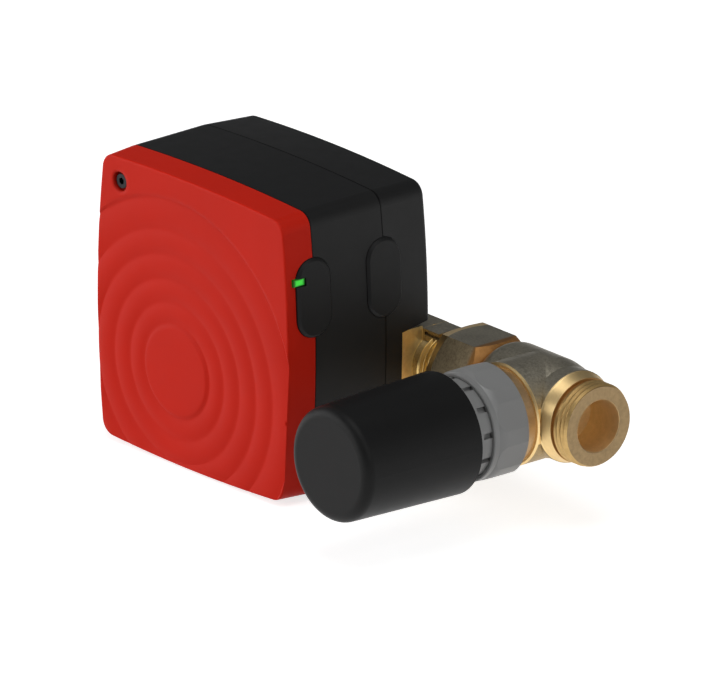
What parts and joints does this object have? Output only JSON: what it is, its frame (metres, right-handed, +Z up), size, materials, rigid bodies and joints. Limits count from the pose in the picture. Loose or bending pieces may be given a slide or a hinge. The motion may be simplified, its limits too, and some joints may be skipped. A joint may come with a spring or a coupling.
{
  "type": "thermal actuator valve",
  "caption": "Pipe-mounted control unit with a brass flow body, and a brass valve that a capped thermal actuator opens and closes.",
  "frame": {"origin": "centre of the outlet's end face, on the pipe's axis", "axes": "+X along the pipe out of the outlet, +Y away from the actuator's cap, +Z up"},
  "size_m": [0.1845, 0.1013, 0.0937],
  "materials": {
    "red_plastic": "satin moulded",
    "black_plastic": "fine textured",
    "cap_plastic": "satin moulded",
    "grey_plastic": "satin moulded",
    "light_guide": "clear, lit green",
    "cast_brass": "cast and turned",
    "turned_brass": "turned",
    "steel": "plain",
    "spring_steel": "drawn",
    "plunger_metal": "plain",
    "rubber": "matt",
    "board_laminate": "coated",
    "component_plastic": "moulded",
    "terminal_plastic": "moulded",
    "shield_metal": "pressed",
    "lamp": "moulded",
    "heater_ceramic": "fired"
  },
  "bodies": {
    "unit": {"front_cover": "red_plastic", "cover_screw": "steel", "middle_housing": "black_plastic", "rear_shell": "black_plastic", "front_latch_spring": "spring_steel", "rear_latch_spring": "spring_steel", "light_guide": "light_guide", "status_lamp": "lamp", "circuit_board": "board_laminate", "board_screws": "steel", "power_supply": "component_plastic", "heater_relay": "component_plastic", "radio_module": "shield_metal", "terminal_block": "terminal_plastic", "flow_body": "cast_brass", "mount_screws": "steel", "temperature_probe": "turned_brass", "probe_seal": "rubber", "valve_body": "cast_brass", "valve_insert": "turned_brass", "gland_seal": "rubber", "gland_nut": "turned_brass", "return_spring": "spring_steel", "retaining_ring": "spring_steel", "actuator_base": "grey_plastic", "actuator_cap": "cap_plastic", "wax_piston": "steel", "main_spring": "spring_steel"},
    "plunger": {"plunger": "plunger_metal", "wax_cartridge": "turned_brass", "heater_disc": "heater_ceramic", "heater_clip": "spring_steel"},
    "valve_stem": {"valve_stem": "steel", "stem_cap": "turned_brass", "valve_plug": "turned_brass", "plug_seal": "rubber"},
    "ring_nut": {"ring_nut": "grey_plastic"},
    "front_latch": {"front_latch": "black_plastic"},
    "rear_latch": {"rear_latch": "black_plastic"}
  },
  "joints": [
    {"name": "plunger_slide", "type": "slide", "parent": "unit", "child": "plunger", "axis": [0, -1, 0], "range_m": [0, 0.004], "stiffness_N_per_m": 4000, "springref_m": -0.01, "deforming": ["main_spring"]},
    {"name": "valve_lift", "type": "slide", "parent": "unit", "child": "valve_stem", "axis": [0, -1, 0], "range_m": [0, 0.004], "deforming": ["return_spring"]},
    {"name": "ring_nut_turn", "type": "hinge", "parent": "unit", "child": "ring_nut", "pos_m": [-0.0264, 0, 0], "axis": [0, 1, 0], "continuous": true},
    {"name": "front_latch_press", "type": "slide", "parent": "unit", "child": "front_latch", "axis": [-1, 0, 0], "range_m": [0, 0.0009], "stiffness_N_per_m": 600, "springref_m": -0.002, "deforming": ["front_latch_spring"]},
    {"name": "rear_latch_press", "type": "slide", "parent": "unit", "child": "rear_latch", "axis": [-1, 0, 0], "range_m": [0, 0.0009], "stiffness_N_per_m": 600, "springref_m": -0.002, "deforming": ["rear_latch_spring"]}
  ],
  "couplings": [
    {"joint": "valve_lift", "follows": "plunger_slide", "ratio": 1}
  ]
}
